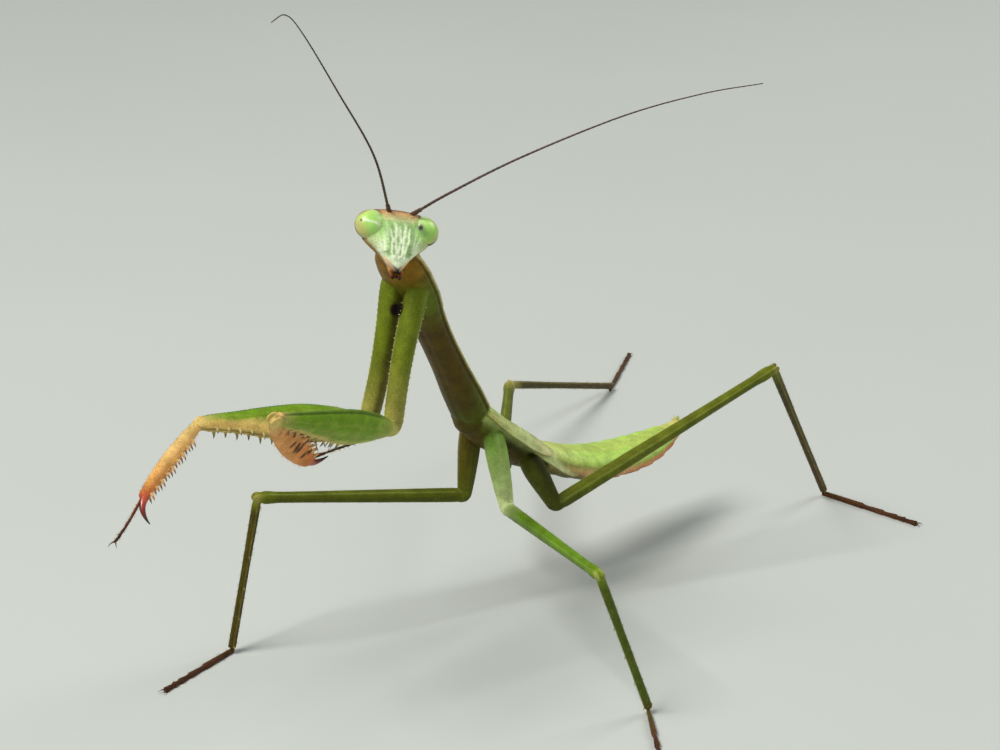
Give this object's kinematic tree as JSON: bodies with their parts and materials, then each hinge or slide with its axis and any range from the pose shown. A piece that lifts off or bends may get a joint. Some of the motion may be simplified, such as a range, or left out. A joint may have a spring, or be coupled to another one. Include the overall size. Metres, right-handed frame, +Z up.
{
  "type": "praying mantis nymph",
  "caption": "Life-size model of a slender green praying mantis nymph standing with its front raised, head turned and grasping forelegs half open.",
  "frame": {"origin": "middle of the animal's bounding box, on the floor it stands on", "axes": "+Z up; the animal faces -Y and its left side is +X"},
  "size_m": [0.0506, 0.0822, 0.0527],
  "materials": {
    "skin_green": "satin waxy insect shell, leaf green, finely dotted",
    "skin_olive": "satin insect shell, olive green to olive brown, finely dotted",
    "skin_face": "smooth pale mint face with raised white ridges",
    "skin_amber": "satin amber to orange brown",
    "mouth": "satin red brown palps and jaws",
    "eye": "glossy, fine facets over a clear layer, with a small dark spot inside",
    "feeler": "satin dark brown, ringed",
    "claw": "glossy horn, dark red brown to black"
  },
  "bodies": {
    "root": {"eye_l": "eye", "eye_r": "eye", "head": "skin_face", "mouthparts": "mouth", "antenna_l_base": "feeler", "antenna_l_tip": "feeler", "antenna_r_base": "feeler", "antenna_r_tip": "feeler", "prothorax": "skin_olive", "neck": "skin_amber", "mesothorax": "skin_green", "metathorax": "skin_green", "abdomen_1": "skin_green", "abdomen_2": "skin_green", "abdomen_3": "skin_green", "abdomen_4": "skin_green", "cercus_l": "skin_green", "cercus_r": "skin_green", "wing_pad_hind_l": "skin_green", "wing_pad_fore_l": "skin_green", "wing_pad_hind_r": "skin_green", "wing_pad_fore_r": "skin_green", "fore_coxa_l": "skin_olive", "fore_femur_l": "skin_green", "fore_tibia_l": "skin_amber", "fore_claw_l": "claw", "fore_tarsus_l": "skin_olive", "fore_coxa_r": "skin_olive", "fore_femur_r": "skin_green", "fore_tibia_r": "skin_amber", "fore_claw_r": "claw", "fore_tarsus_r": "skin_olive", "mid_coxa_l": "skin_green", "mid_femur_l": "skin_green", "mid_tibia_l": "skin_olive", "mid_tarsus_l": "skin_olive", "mid_coxa_r": "skin_green", "mid_femur_r": "skin_green", "mid_tibia_r": "skin_olive", "mid_tarsus_r": "skin_olive", "hind_coxa_l": "skin_green", "hind_femur_l": "skin_green", "hind_tibia_l": "skin_olive", "hind_tarsus_l": "skin_olive", "hind_coxa_r": "skin_green", "hind_femur_r": "skin_green", "hind_tibia_r": "skin_olive", "hind_tarsus_r": "skin_olive"}
  },
  "joints": []
}
